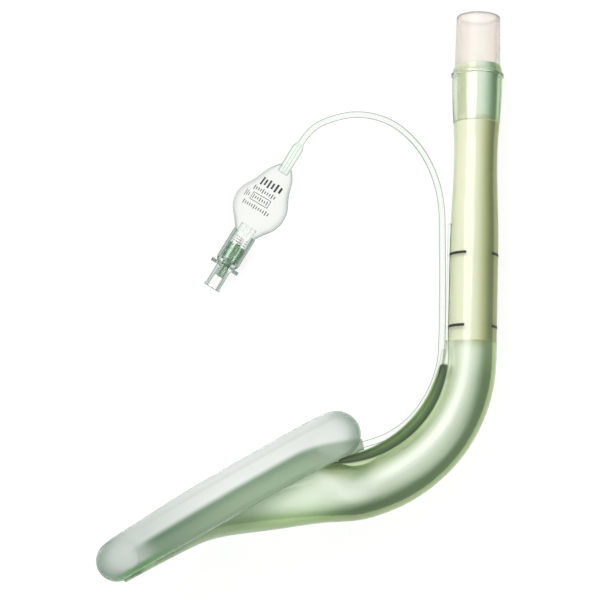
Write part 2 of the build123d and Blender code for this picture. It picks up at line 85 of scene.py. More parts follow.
def curve_through(points, share):
    """Point on a smooth curve through the points, share running from 0 to 1."""
    at = share * (len(points) - 1)
    i = min(int(at), len(points) - 2)
    t = at - i
    a = points[max(i - 1, 0)]
    b = points[i]
    c = points[i + 1]
    d = points[min(i + 2, len(points) - 1)]
    return [
        0.5 * (2 * q + (r - p) * t + (2 * p - 5 * q + 4 * r - s) * t**2 + (3 * q - p - 3 * r + s) * t**3)
        for p, q, r, s in zip(a, b, c, d)
    ]


def mesh_object(name, verts, faces, material):
    mesh = bpy.data.meshes.new(name)
    mesh.from_pydata([tuple(v) for v in verts], [], faces)
    mesh.update()
    for polygon in mesh.polygons:
        polygon.use_smooth = True
    piece = bpy.data.objects.new(name, mesh)
    scene.collection.objects.link(piece)
    mesh.materials.append(material)
    return piece


def grid_faces(rows, columns, closed_rows, closed_columns):
    """Quads of a grid of points, row after row."""
    faces = []
    for i in range(rows if closed_rows else rows - 1):
        for j in range(columns if closed_columns else columns - 1):
            a = i * columns + j
            b = i * columns + (j + 1) % columns
            c = (i + 1) % rows * columns + (j + 1) % columns
            d = (i + 1) % rows * columns + j
            faces.append((a, b, c, d))
    return faces


# Materials
class Shader:
    """A material's node tree with short ways to add and link nodes."""

    def __init__(self, name):
        self.material = bpy.data.materials.new(name)
        self.material.use_nodes = True
        self.tree = self.material.node_tree
        self.tree.nodes.clear()
        self.out = self.add("OutputMaterial")
        self.coords = self.add("TexCoord").outputs["Object"]

    def add(self, kind, **settings):
        node = self.tree.nodes.new("ShaderNode" + kind)
        for key, value in settings.items():
            setattr(node, key, value)
        return node

    def link(self, output, socket):
        self.tree.links.new(output, socket)

    def noise(self, scale, detail=3.0):
        texture = self.add("TexNoise")
        texture.inputs["Scale"].default_value = scale
        texture.inputs["Detail"].default_value = detail
        self.link(self.coords, texture.inputs["Vector"])
        return texture.outputs["Fac"]

    def ramp(self, factor, stops):
        node = self.add("ValToRGB")
        elements = node.color_ramp.elements
        while len(elements) < len(stops):
            elements.new(0.5)
        for element, (at, colour) in zip(elements, stops):
            element.position = at
            element.color = (*colour, 1.0)
        self.link(factor, node.inputs["Fac"])
        return node.outputs["Color"]

    def spread(self, factor, low, high):
        node = self.add("MapRange")
        node.inputs["To Min"].default_value = low
        node.inputs["To Max"].default_value = high
        self.link(factor, node.inputs["Value"])
        return node.outputs["Result"]

    def blend(self, factor, a, b, kind="MIX"):
        node = self.add("Mix", data_type="RGBA", blend_type=kind)
        for key, value in (("Factor", factor), ("A", a), ("B", b)):
            socket = node.inputs[key]
            if hasattr(value, "is_linked"):
                self.link(value, socket)
            elif isinstance(value, tuple):
                socket.default_value = (*value, 1.0)
            else:
                socket.default_value = value
        return node.outputs["Result"]

    def tinted(self, factor, tone, tint):
        """The tone multiplied by a tint where the factor is 1."""
        return self.blend(factor, tone, self.blend(1.0, tone, tint, "MULTIPLY"))

    def clouded(self, tone, scale, detail, most, tint):
        """The tone with soft clouds of a tint, most at their strongest."""
        return self.tinted(self.spread(self.noise(scale, detail), 0.0, most), tone, tint)

    def maths(self, operation, a, b=0.0):
        node = self.add("Math", operation=operation)
        for socket, value in zip(node.inputs, (a, b)):
            if hasattr(value, "is_linked"):
                self.link(value, socket)
            else:
                socket.default_value = value
        return node.outputs["Value"]

    def plus(self, a, b):
        return self.maths("ADD", a, b)

    def minus(self, a, b):
        return self.maths("SUBTRACT", a, b)

    def times(self, a, b):
        return self.maths("MULTIPLY", a, b)

    def over(self, a, b):
        return self.maths("DIVIDE", a, b)

    def smooth(self, value, low, high):
        """0 at low, 1 at high, and smooth in between. Low may be the larger number."""
        node = self.add("MapRange", interpolation_type="SMOOTHSTEP")
        node.inputs["From Min"].default_value = low
        node.inputs["From Max"].default_value = high
        self.link(value, node.inputs["Value"])
        return node.outputs["Result"]

    def dot(self, vector, direction):
        node = self.add("VectorMath", operation="DOT_PRODUCT")
        self.link(vector, node.inputs[0])
        node.inputs[1].default_value = direction
        return node.outputs["Value"]

    def own_frame(self):
        """x and y of the airway's own frame in mm, as in place()."""
        moved = self.add("VectorMath", operation="SUBTRACT")
        self.link(self.coords, moved.inputs[0])
        moved.inputs[1].default_value = shift * MM
        x = self.dot(moved.outputs["Vector"], (math.cos(lying) / MM, 0, -math.sin(lying) / MM))
        y = self.dot(moved.outputs["Vector"], (0, 1 / MM, 0))
        return x, y

    def cuff_frame(self, x, y):
        """Distance along the cuff from its heel and depth behind its middle plane, in mm."""
        across = self.minus(x, heel.x)
        down = self.minus(y, heel.y)
        along = self.plus(self.times(across, ahead.x), self.times(down, ahead.y))
        depth = self.plus(self.times(across, deeper.x), self.times(down, deeper.y))
        return along, depth

    def distance_to(self, x, y, centre_x, centre_y):
        a = self.minus(x, centre_x)
        b = self.minus(y, centre_y)
        return self.maths("SQRT", self.plus(self.times(a, a), self.times(b, b)))

    def facing(self):
        """0 where the surface is square to the ray, 1 where it grazes it."""
        return self.add("LayerWeight").outputs["Facing"]

    def bump(self, height, strength, distance):
        node = self.add("Bump")
        node.inputs["Strength"].default_value = strength
        node.inputs["Distance"].default_value = distance
        self.link(height, node.inputs["Height"])
        return node.outputs["Normal"]

    def principled(self, colour, roughness, normal=None, **constants):
        node = self.add("BsdfPrincipled")
        self.link(colour, node.inputs["Base Color"])
        self.link(roughness, node.inputs["Roughness"])
        if normal:
            self.link(normal, node.inputs["Normal"])
        for key, value in constants.items():
            node.inputs[key.replace("_", " ")].default_value = value
        return node.outputs["BSDF"]

    def lets_light_by(self, shader, tint):
        """Lamps shine through the surface, so that clear plastic doesn't cast a black shadow."""
        path = self.add("LightPath")
        clear = self.add("BsdfTransparent")
        clear.inputs["Color"].default_value = (*tint, 1.0)
        either = self.add("MixShader")
        self.link(path.outputs["Is Shadow Ray"], either.inputs["Fac"])
        self.link(shader, either.inputs[1])
        self.link(clear.outputs["BSDF"], either.inputs[2])
        return either.outputs["Shader"]

    def finish(self, shader):
        self.link(shader, self.out.inputs["Surface"])
        return self.material


def moulded(name, edge, roughness, ior, bump=0.05):
    """Clear moulded plastic. edge gives its colour from square on to grazing."""
    s = Shader(name)
    tone = s.clouded(s.ramp(s.facing(), edge), 60.0, 4.0, 0.35, (0.94, 0.955, 0.945))
    rough = s.spread(s.noise(240.0, 3.0), roughness * 0.8, roughness * 1.25)
    normal = s.bump(s.noise(900.0, 2.0), bump, 0.0002)
    body = s.principled(tone, rough, normal, IOR=ior, Transmission_Weight=1.0)
    return s.finish(s.lets_light_by(body, (0.8, 0.85, 0.78)))


def tube_material():
    """Soft green plastic with painted shade: darker towards the outside of the bend, deepest on the solid
    keel, and a painted bright edge along the outside.
    """
    s = Shader("tube_green")
    x, y = s.own_frame()
    along, depth = s.cuff_frame(x, y)
    turned = s.minus(s.distance_to(x, s.maths("MINIMUM", y, 0.0), -bend_radius, 0.0), bend_radius)
    outer = s.smooth(turned, -3.0, 4.0)
    sleeve = s.smooth(y, *sleeve_foot)
    facing = s.facing()
    pale = s.ramp(
        facing,
        [
            (0.0, (1.0, 1.0, 0.995)),
            (0.2, (0.93, 0.95, 0.87)),
            (0.45, (0.82, 0.87, 0.72)),
            (0.8, (0.66, 0.75, 0.52)),
            (1.0, (0.46, 0.58, 0.36)),
        ],
    )
    # Painted shade: the outer half of the tube, turned from the light, darkens more towards its edges than
    # the inner half
    banded = s.ramp(
        facing,
        [
            (0.0, (1.0, 1.0, 1.0)),
            (0.06, (0.95, 0.96, 0.94)),
            (0.12, (0.8, 0.85, 0.78)),
            (0.2, (0.56, 0.64, 0.53)),
            (0.3, (0.32, 0.42, 0.28)),
            (1.0, (0.3, 0.41, 0.22)),
        ],
    )
    # Painted shade deepening towards the outside of the bend, lifted again on the sleeve
    straight_painted_shade = s.ramp(
        s.over(s.plus(turned, 3.0), 8.0),
        [
            (0.0, (1.0, 1.0, 1.0)),
            (0.4, (0.88, 0.91, 0.86)),
            (0.7, (0.72, 0.77, 0.68)),
            (1.0, (0.66, 0.72, 0.58)),
        ],
    )
    bend_painted_shade = s.ramp(
        s.over(s.plus(turned, 4.0), 11.0),
        [
            (0.0, (1.0, 1.0, 1.0)),
            (0.23, (0.87, 0.89, 0.86)),
            (0.36, (0.8, 0.83, 0.78)),
            (0.5, (0.66, 0.71, 0.63)),
            (0.64, (0.48, 0.55, 0.45)),
            (0.8, (0.42, 0.5, 0.37)),
            (1.0, (0.46, 0.56, 0.38)),
        ],
    )
    fall = s.blend(s.smooth(y, 5.0, -8.0), straight_painted_shade, bend_painted_shade)
    fall = s.blend(s.times(sleeve, s.smooth(turned, 6.0, 1.0)), fall, (0.98, 0.99, 0.97))
    stripe = s.ramp(
        facing,
        [
            (0.0, (1.0, 1.0, 1.0)),
            (0.06, (0.96, 0.97, 0.95)),
            (0.15, (0.7, 0.78, 0.67)),
            (0.26, (0.8, 0.86, 0.67)),
            (0.45, (0.93, 0.96, 0.88)),
            (1.0, (0.8, 0.86, 0.76)),
        ],
    )
    tone = s.blend(1.0, s.blend(outer, s.blend(sleeve, pale, stripe), banded), fall, "MULTIPLY")
    # Painted light: a bright green band at the grazing edge outside, for light seen through the wall
    painted_light_strip = s.times(outer, s.smooth(facing, 0.4, 0.46))
    tone = s.blend(painted_light_strip, tone, (0.9, 1.0, 0.52))
    tone = s.tinted(s.times(sleeve, outer), tone, (0.85, 1.0, 1.05))
    # The bowl, its root under the bend and its rim beside the cuff
    bowl = s.times(s.smooth(along, -8.0, 4.0), s.smooth(depth, 26.0, 18.0))
    bowl_tone = s.ramp(
        facing,
        [
            (0.0, (0.95, 0.965, 0.95)),
            (0.06, (0.9, 0.925, 0.89)),
            (0.12, (0.82, 0.865, 0.79)),
            (0.2, (0.58, 0.69, 0.53)),
            (0.3, (0.32, 0.45, 0.24)),
            (0.4, (0.22, 0.38, 0.12)),
            (0.47, (0.58, 0.76, 0.3)),
            (1.0, (0.6, 0.8, 0.34)),
        ],
    )
    root = s.times(s.smooth(depth, 17.0, 12.0), s.smooth(along, 18.0, 9.0))
    tone = s.blend(bowl, tone, s.blend(root, bowl_tone, pale))
    rim = s.times(s.smooth(depth, 11.0, 5.0), s.smooth(along, 4.0, 16.0))
    tone = s.blend(s.times(rim, 0.5), tone, (0.46, 0.57, 0.43))
    # The keel between the pilot line's groove and the tube, with a round upper end, painted dark as the
    # shade of the groove
    from_line = s.minus(s.distance_to(x, y, *line_arc[:2]), line_arc[2])
    from_tube = s.minus(keel_arc[2], s.distance_to(x, y, *keel_arc[:2]))
    off_middle = s.minus(from_line, 1.4)
    rounded = s.plus(y, s.times(s.times(off_middle, off_middle), 0.3))
    web = s.times(s.smooth(from_tube, -0.25, 0.25), s.smooth(from_line, -0.3, 0.3))
    web = s.times(web, s.smooth(rounded, -2.0, -2.7))
    # Painted shade over the keel: near black against the tube, lighter towards the pilot line
    keel_painted_shade = s.ramp(
        s.over(from_tube, 3.6),
        [
            (0.0, (0.01, 0.03, 0.008)),
            (0.2, (0.045, 0.08, 0.03)),
            (0.5, (0.1, 0.18, 0.055)),
            (0.75, (0.2, 0.34, 0.11)),
            (1.0, (0.42, 0.6, 0.28)),
        ],
    )
    shade = s.times(s.smooth(y, -1.5, -7.0), s.spread(s.noise(110.0, 2.0), 0.55, 1.3))
    keel_painted_shade = s.blend(s.maths("MAXIMUM", s.minus(1.0, shade), 0.0), keel_painted_shade, (0.03, 0.06, 0.02))
    beside = s.times(s.smooth(turned, -8.2, -8.7), s.smooth(y, -3.0, -8.0))
    tone = s.blend(beside, tone, (0.62, 0.71, 0.46))
    tone = s.blend(web, tone, keel_painted_shade)
    tone = s.clouded(tone, 55.0, 4.0, 0.4, (0.94, 0.965, 0.92))
    # Clear where it is bonded to the bite block, frosted below it
    frosted = s.times(s.smooth(y, 5.6, 5.2), 0.22)
    rough = s.plus(s.spread(s.noise(240.0, 3.0), 0.07, 0.13), frosted)
    normal = s.bump(s.noise(700.0, 2.0), 0.04, 0.0002)
    body = s.principled(tone, rough, normal, IOR=1.5, Transmission_Weight=1.0)
    inside = s.add("VolumeAbsorption")
    inside.inputs["Color"].default_value = (0.68, 0.84, 0.52, 1.0)
    inside.inputs["Density"].default_value = 30.0
    s.link(inside.outputs["Volume"], s.out.inputs["Volume"])
    return s.finish(s.lets_light_by(body, (0.93, 0.96, 0.91)))


def bonded_material():
    """Where the tube is bonded to the bite block, light crosses without bending."""
    s = Shader("bonded_face")
    clear = s.add("BsdfTransparent")
    tone = s.ramp(s.noise(300.0, 3.0), [(0.0, (0.97, 0.98, 0.96)), (1.0, (1.0, 1.0, 1.0))])
    s.link(tone, clear.inputs["Color"])
    return s.finish(clear.outputs["BSDF"])


def bite_material():
    """Stiff cream liner, with painted shade that darkens it to olive on the side that turns from the
    light.
    """
    s = Shader("bite_cream")
    x, _ = s.own_frame()
    # Painted shade: cream on the lit side, olive towards the side turned from the light
    tone = s.ramp(
        s.over(s.plus(x, 6.5), 13.0),
        [
            (0.0, (0.93, 0.9, 0.84)),
            (0.13, (0.91, 0.87, 0.8)),
            (0.34, (0.88, 0.86, 0.8)),
            (0.54, (0.85, 0.82, 0.74)),
            (0.7, (0.72, 0.67, 0.48)),
            (0.84, (0.52, 0.49, 0.31)),
            (1.0, (0.68, 0.64, 0.48)),
        ],
    )
    tone = s.clouded(tone, 45.0, 3.0, 0.4, (0.93, 0.94, 0.9))
    rough = s.spread(s.noise(260.0, 2.0), 0.3, 0.42)
    body = s.principled(tone, rough, IOR=1.2, Transmission_Weight=0.35)
    return s.finish(s.lets_light_by(body, (0.85, 0.86, 0.8)))


def connector_material():
    """Translucent white plastic, with a slightly deeper rim at the open end."""
    s = Shader("connector_white")
    _, y = s.own_frame()
    edge = [
        (0.0, (0.87, 0.845, 0.82)),
        (0.3, (0.89, 0.845, 0.81)),
        (0.6, (0.81, 0.75, 0.71)),
        (1.0, (0.4, 0.4, 0.36)),
    ]
    tone = s.ramp(s.facing(), edge)
    tone = s.blend(s.times(s.smooth(y, 118.7, 119.2), 0.6), tone, (0.36, 0.34, 0.33))
    tone = s.clouded(tone, 60.0, 4.0, 0.35, (0.95, 0.94, 0.93))
    rough = s.spread(s.noise(240.0, 3.0), 0.05, 0.09)
    normal = s.bump(s.noise(900.0, 2.0), 0.03, 0.0002)
    body = s.principled(tone, rough, normal, IOR=1.2, Transmission_Weight=0.7)
    return s.finish(s.lets_light_by(body, (0.85, 0.85, 0.83)))


def film_material():
    """Frosted film of the cuff, with the bowl's plate and the tongue showing through it."""
    s = Shader("cuff_film")
    along, depth = s.cuff_frame(*s.own_frame())
    facing = s.facing()
    upper = s.ramp(
        facing,
        [
            (0.0, (0.83, 0.84, 0.83)),
            (0.4, (0.81, 0.83, 0.815)),
            (0.7, (0.78, 0.805, 0.79)),
            (1.0, (0.76, 0.79, 0.77)),
        ],
    )
    # Painted shade: the cuff's heel and tip turn grey-green where the film grazes the view
    ends = s.maths("MAXIMUM", s.smooth(along, 72.0, 86.0), s.smooth(along, 3.0, -6.0))
    upper = s.blend(s.times(ends, s.smooth(facing, 0.2, 0.8)), upper, (0.36, 0.48, 0.4))
    upper = s.tinted(s.smooth(along, 40.0, 84.0), upper, (0.78, 0.81, 0.79))
    seam = s.times(s.smooth(depth, -6.0, -4.6), s.smooth(depth, -3.6, -4.6))
    upper = s.blend(s.times(seam, 0.35), upper, (0.6, 0.6, 0.59))
    edge_depth = s.times(s.smooth(along, 17.0, -14.0), 6.2)
    below = s.minus(depth, edge_depth)
    lower = s.ramp(
        s.over(below, 8.0),
        [
            (0.0, (0.25, 0.34, 0.25)),
            (0.14, (0.25, 0.35, 0.25)),
            (0.4, (0.38, 0.48, 0.35)),
            (0.7, (0.43, 0.54, 0.4)),
            (1.0, (0.35, 0.47, 0.33)),
        ],
    )
    lower = s.tinted(s.smooth(along, 30.0, 72.0), lower, (0.72, 0.76, 0.76))
    plate = s.times(s.smooth(below, -0.9, 1.0), s.smooth(along, 80.0, 68.0))
    plate = s.times(plate, s.plus(s.times(s.smooth(along, -6.0, 18.0), 0.35), 0.65))
    tone = s.blend(plate, upper, lower)
    tongue = s.times(s.smooth(depth, 4.4, 6.0), s.smooth(along, 92.0, 87.0))
    tongue = s.times(tongue, s.smooth(along, 62.0, 76.0))
    tone = s.blend(tongue, tone, (0.2, 0.4, 0.19))
    tone = s.clouded(tone, 40.0, 4.0, 0.5, (0.93, 0.95, 0.93))
    rough = s.spread(s.noise(300.0, 3.0), 0.38, 0.52)
    normal = s.bump(s.noise(900.0, 2.0), 0.05, 0.0002)
    body = s.principled(tone, rough, normal, IOR=1.05, Transmission_Weight=0.35, Specular_IOR_Level=0.2)
    return s.finish(s.lets_light_by(body, (0.85, 0.87, 0.85)))


def barrel_material():
    """Clear hard plastic. Its rim, lugs and shoulder look darkest; on the rim and lugs that dark is
    painted shade.
    """
    s = Shader("barrel_clear")
    edge = [
        (0.0, (0.985, 0.99, 0.985)),
        (0.15, (0.94, 0.96, 0.95)),
        (0.35, (0.52, 0.6, 0.57)),
        (0.6, (0.11, 0.15, 0.14)),
        (1.0, (0.04, 0.07, 0.06)),
    ]
    tone = s.ramp(s.facing(), edge)
    off_end = s.add("VectorMath", operation="SUBTRACT")
    s.link(s.coords, off_end.inputs[0])
    off_end.inputs[1].default_value = luer_end * MM
    up_valve = s.dot(off_end.outputs["Vector"], tuple(-heading / MM))
    length = s.add("VectorMath", operation="LENGTH")
    s.link(off_end.outputs["Vector"], length.inputs[0])
    reach = s.over(length.outputs["Value"], MM)
    square = s.minus(s.times(reach, reach), s.times(up_valve, up_valve))
    off_axis = s.maths("SQRT", s.maths("MAXIMUM", square, 0.0))
    # Painted shade on the lugs and the open rim
    lugs = s.times(s.smooth(up_valve, 7.9, 8.2), s.smooth(up_valve, 10.2, 9.6))
    lugs = s.times(lugs, s.smooth(off_axis, 2.8, 3.3))
    tone = s.blend(s.times(lugs, 0.85), tone, (0.1, 0.17, 0.14))
    rim = s.times(s.smooth(up_valve, 0.3, 0.12), 0.85)
    tone = s.blend(rim, tone, (0.1, 0.14, 0.13))
    rough = s.spread(s.noise(240.0, 3.0), 0.04, 0.08)
    body = s.principled(tone, rough, IOR=1.4, Transmission_Weight=1.0)
    return s.finish(s.lets_light_by(body, (0.8, 0.86, 0.82)))


def opaque(name, light, dark, roughness, metallic=0.0, scale=180.0):
    s = Shader(name)
    tone = s.blend(s.spread(s.noise(scale, 4.0), 0.0, 1.0), dark, light)
    rough = s.spread(s.noise(scale * 3, 2.0), roughness * 0.8, roughness * 1.2)
    normal = s.bump(s.noise(scale * 6, 2.0), 0.06, 0.0002)
    return s.finish(s.principled(tone, rough, normal, Metallic=metallic))


tube_green = tube_material()
connector_white = connector_material()
bite_cream = bite_material()
film = film_material()
port_clear = moulded(
    "port_clear",
    [
        (0.0, (0.975, 0.99, 0.975)),
        (0.2, (0.93, 0.97, 0.94)),
        (0.45, (0.66, 0.76, 0.69)),
        (0.7, (0.22, 0.3, 0.25)),
        (1.0, (0.1, 0.15, 0.12)),
    ],
    roughness=0.06,
    ior=1.12,
    bump=0.01,
)
clear_film = moulded(
    "clear_film",
    [
        (0.0, (0.982, 0.971, 0.982)),
        (0.28, (0.92, 0.92, 0.925)),
        (0.5, (0.55, 0.59, 0.575)),
        (1.0, (0.2, 0.24, 0.22)),
    ],
    roughness=0.08,
    ior=1.03,
)
clear_line = moulded(
    "clear_line",
    [
        (0.0, (1.0, 1.0, 1.0)),
        (0.34, (0.98, 0.985, 0.98)),
        (0.46, (0.5, 0.56, 0.54)),
        (0.6, (0.1, 0.13, 0.12)),
        (1.0, (0.03, 0.05, 0.04)),
    ],
    roughness=0.06,
    ior=1.06,
)
cap_clear = moulded(
    "cap_clear",
    [
        (0.0, (0.99, 0.995, 0.99)),
        (0.3, (0.93, 0.96, 0.94)),
        (0.6, (0.66, 0.74, 0.7)),
        (1.0, (0.4, 0.5, 0.45)),
    ],
    roughness=0.08,
    ior=1.15,
    bump=0.01,
)
line_inside = moulded(
    "line_inside",
    [(0.0, (1.0, 1.0, 1.0)), (1.0, (0.93, 0.95, 0.94))],
    roughness=0.06,
    ior=1.02,
)
barrel_clear = barrel_material()
core_green = opaque("core_green", (0.34, 0.52, 0.32), (0.05, 0.13, 0.08), 0.35, scale=420.0)
steel = opaque("spring_steel", (0.92, 0.84, 0.85), (0.78, 0.7, 0.71), 0.4, metallic=0.6)
seal_rubber = opaque("seal_rubber", (0.13, 0.2, 0.17), (0.07, 0.12, 0.1), 0.6)
ink = opaque("ink", (0.018, 0.02, 0.014), (0.008, 0.01, 0.006), 0.5, scale=900.0)


# Camera
eye = Vector((145.5, -101.0, 625.5)) * MM
aim = Vector((-1.28, -2.46, 23.15)) * MM
back = (eye - aim).normalized()
right = Vector((-0.0332, 0.9994, 0.0081)).cross(back).normalized()
up = back.cross(right)
camera_data = bpy.data.cameras.new("camera")
camera_data.lens = 110.9
camera_data.sensor_width = 36.0
camera_data.clip_start = 0.01
camera = bpy.data.objects.new("camera", camera_data)
camera.matrix_world = Matrix.Translation(eye) @ Matrix((right, up, back)).transposed().to_4x4()
scene.collection.objects.link(camera)
scene.camera = camera


# Pilot line
line_route = [
    (20.81, -50.81, 17.76),
    (26.93, -49.11, 16.27),
    (36.00, -42.65, 14.06),
    (42.02, -33.61, 12.59),
    (45.63, -23.11, 11.71),
    (45.88, -12.01, 11.65),
    (45.68, 4.49, 11.70),
    (45.24, 20.49, 11.81),
    (44.70, 34.00, 11.40),
    (40.60, 46.20, 9.20),
    (34.20, 56.20, 5.80),
    (24.30, 65.00, 2.50),
    (11.90, 68.50, 1.20),
    (1.00, 65.50, 3.20),
    (-4.85, 61.34, 4.60),
    (-7.66, 56.61, 4.60),
]
line_curve = bpy.data.curves.new("pilot_line_tube", "CURVE")
line_curve.dimensions = "3D"
spline = line_curve.splines.new("NURBS")
spline.points.add(len(line_route) - 1)
for point, co in zip(spline.points, line_route):
    point.co = (*(Vector(co) * MM), 1.0)
spline.order_u = 3
spline.use_endpoint_u = True
spline.resolution_u = 16
line_curve.bevel_depth = line_radius * MM
line_curve.bevel_resolution = 8
line_curve.materials.append(clear_line)
pilot_line = bpy.data.objects.new("pilot_line_tube", line_curve)
scene.collection.objects.link(pilot_line)
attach(pilot_line, "airway")
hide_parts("pilot_line")
bore_curve = line_curve.copy()
bore_curve.bevel_depth = line_bore_radius * MM
bore_curve.materials[0] = line_inside
line_bore = bpy.data.objects.new("pilot_line_bore", bore_curve)
scene.collection.objects.link(line_bore)
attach(line_bore, "airway")


# Cuff: an inflated ring of thin film
ring_half = [
    (0.0, 0.0, 8.0),
    (2.53, 7.71, 7.99),
    (9.05, 12.62, 7.93),
    (16.71, 15.67, 7.81),
    (24.74, 17.55, 7.67),
    (32.95, 18.37, 7.6),
    (41.19, 18.19, 7.6),
    (49.36, 17.07, 7.6),
    (57.40, 15.20, 7.53),
    (65.30, 12.81, 7.32),
    (73.10, 10.12, 7.08),
    (80.74, 7.04, 6.92),
    (84.4, 0.0, 6.9),
]
ring = ring_half + [(a, -w, r) for a, w, r in reversed(ring_half[1:-1])]
closed = [ring[-1]] + ring + ring[:2]
ring_middle = 42.0
film_inset = 0.06
around = 256
ring_sides = 96


def ring_at(share):
    """Middle of the cuff's tube in its own plane (along, aside) and its radius."""
    inner = mix(1, len(ring) + 1, share % 1.0) / (len(closed) - 1)
    return curve_through(closed, inner)


verts = []
for i in range(around):
    along, aside, radius = ring_at(i / around)
    before = ring_at((i - 0.5) / around)
    after = ring_at((i + 0.5) / around)
    run = Vector((after[0] - before[0], after[1] - before[1])).normalized()
    outward = Vector((run.y, -run.x))
    if outward.dot(Vector((along - ring_middle, aside))) < 0:
        outward = -outward
    for j in range(ring_sides):
        turn = 2 * math.pi * j / ring_sides
        out = math.cos(turn) * (radius - film_inset)
        depth = math.sin(turn) * (radius - film_inset)
        a = along + outward.x * out
        flat = heel + ahead * a + deeper * depth
        verts.append(place(flat.x, flat.y, aside + outward.y * out))
cuff_film = mesh_object("cuff_film", verts, grid_faces(around, ring_sides, True, True), film)
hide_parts("cuff")
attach(cuff_film, "airway")


# Neck of the cuff, which takes the pilot line
neck_mouth = Vector((-36.0, -30.3))
neck_turn = math.radians(15.0)
inward = Vector((-math.cos(neck_turn), -math.sin(neck_turn)))
neck_profile = [(0.0, 1.25), (0.0, 1.85), (1.2, 1.9), (2.0, 2.1), (2.8, 2.6), (3.6, 3.0), (5.0, 3.2)]
section = 48
verts = []
for along, radius in neck_profile:
    for j in range(section):
        turn = 2 * math.pi * j / section
        flat = neck_mouth + inward * along + Vector((inward.y, -inward.x)) * radius * math.cos(turn)
        verts.append(place(flat.x, flat.y, radius * math.sin(turn)))
cuff_neck = mesh_object("cuff_neck", verts, grid_faces(len(neck_profile), section, False, True), film)
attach(cuff_neck, "airway")


# Pilot balloon: two films welded along their outline
balloon_neck = Vector((-12.5121, 48.4426, 4.6))
outline = [
    (0.0, 2.6, 2.6),
    (3.64, 5.25, 3.04),
    (8.68, 7.2, 3.86),
    (13.72, 9.9, 4.42),
    (17.64, 10.35, 4.6),
    (21.56, 9.2, 4.51),
    (25.2, 6.4, 4.37),
    (28.0, 4.2, 4.2),
]
weld = 0.25
sideways = 0.65
fullness = 1.15
print_lift = 0.06
steps = 96
verts = []
for i in range(steps + 1):
    at, half_width, half_height = curve_through(outline, i / steps)
    lip = weld * min(1.0, 6 * i / steps, 6 * (steps - i) / steps)
    bulge = math.sin(math.pi * i / steps)
    for j in range(section):
        turn = 2 * math.pi * j / section
        side = math.cos(turn)
        swell = abs(math.sin(turn)) ** fullness
        reach = (half_width - lip) * side
        if j % (section // 2) == 0:
            reach = half_width * side
        height = math.copysign(half_height * swell, math.sin(turn))
        flat = balloon_neck + heading * at + level * (reach + sideways * bulge)
        verts.append((flat + Vector((0, 0, height))) * MM)
balloon = mesh_object("balloon_film", verts, grid_faces(steps + 1, section, False, True), clear_film)
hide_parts("pilot_balloon")
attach(balloon, "airway")


def at_share(at):
    """Share along the outline's curve at a distance from the neck."""
    low, high = 0.0, 1.0
    for _ in range(24):
        middle = (low + high) / 2
        if curve_through(outline, middle)[0] < at:
            low = middle
        else:
            high = middle
    return low


def on_balloon(at, across):
    """Point just above the balloon's upper film, at a distance from its neck."""
    _, half_width, half_height = curve_through(outline, at_share(at))
    share = min(abs(across) / (half_width - weld), 0.98)
    height = half_height * (1 - share**2) ** (fullness / 2)
    return (balloon_neck + heading * at - level * across + Vector((0, 0, height + print_lift))) * MM


def stamps(name, marks):
    """Flat printed marks: (distance from the neck, place across, size across, size along)."""
    verts = []
    faces = []
    for at, across, wide, tall in marks:
        base = len(verts)
        for i in range(3):
            for j in range(9):
                verts.append(on_balloon(at + tall * (i / 2 - 0.5), across + wide * (j / 8 - 0.5)))
        faces += [tuple(base + k for k in face) for face in grid_faces(3, 9, False, False)]
    piece = mesh_object(name, verts, faces, ink)
    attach(piece, "airway")
    return piece


bold_marks = [(8.6, -3.6 + 1.5 * k, 0.75, 3.2 - 0.9 * (k % 2)) for k in range(6)]
upper_ticks = [(11.9, -4.9 + 0.95 * k, 0.36, 1.8 if k % 4 == 0 else 1.1) for k in range(10)]
frame_marks = [(at, -0.3, 7.4, 0.22) for at in (13.6, 16.4)]
frame_marks += [(15.0, across, 0.22, 2.8) for across in (-4.0, 3.4)]
frame_ticks = [(15.0, -3.2 + 0.95 * k, 0.34, 1.6 if k % 3 == 0 else 1.0) for k in range(7)]
side_ticks = [(15.0, -6.9 + 0.8 * k, 0.28, 2.6 - 0.6 * k) for k in range(3)]
lower_ticks = [(18.2, -5.6 + 0.95 * k, 0.34, 1.7 if k % 5 == 0 else 1.1) for k in range(12)]
marks = bold_marks + upper_ticks + frame_marks + frame_ticks + side_ticks + lower_ticks
balloon_print = stamps("balloon_print", marks)


# Spring between the plunger and the cap
cap_at = 21.1
coil_room = 3.5
coil_gap = 0.1
wire_radius = 0.225
coil_radius = 2.375
coils = 3
rounds = 48 * coils
sides = 12
coil_rise = coil_room - 2 * (coil_gap + wire_radius)
coil_start = cap_at - coil_room + coil_gap + wire_radius


def on_coil(share):
    """Middle of the spring's wire, share running from its lower end to the cap."""
    turn = 2 * math.pi * coils * share
    radial = level * math.cos(turn) + Vector((0, 0, math.sin(turn)))
    return luer_end - heading * (coil_start + coil_rise * share) + radial * coil_radius, radial


verts = []
for i in range(rounds + 1):
    middle, radial = on_coil(i / rounds)
    run = (on_coil((i + 0.5) / rounds)[0] - on_coil((i - 0.5) / rounds)[0]).normalized()
    third = run.cross(radial)
    for j in range(sides):
        turn = 2 * math.pi * j / sides
        verts.append((middle + (radial * math.cos(turn) + third * math.sin(turn)) * wire_radius) * MM)
faces = grid_faces(rounds + 1, sides, False, True)
faces.append(tuple(reversed(range(sides))))
faces.append(tuple(range(rounds * sides, (rounds + 1) * sides)))
spring_coil = mesh_object("spring_coil", verts, faces, steel)
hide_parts("valve_spring")
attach(spring_coil, "airway")
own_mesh(spring_coil)


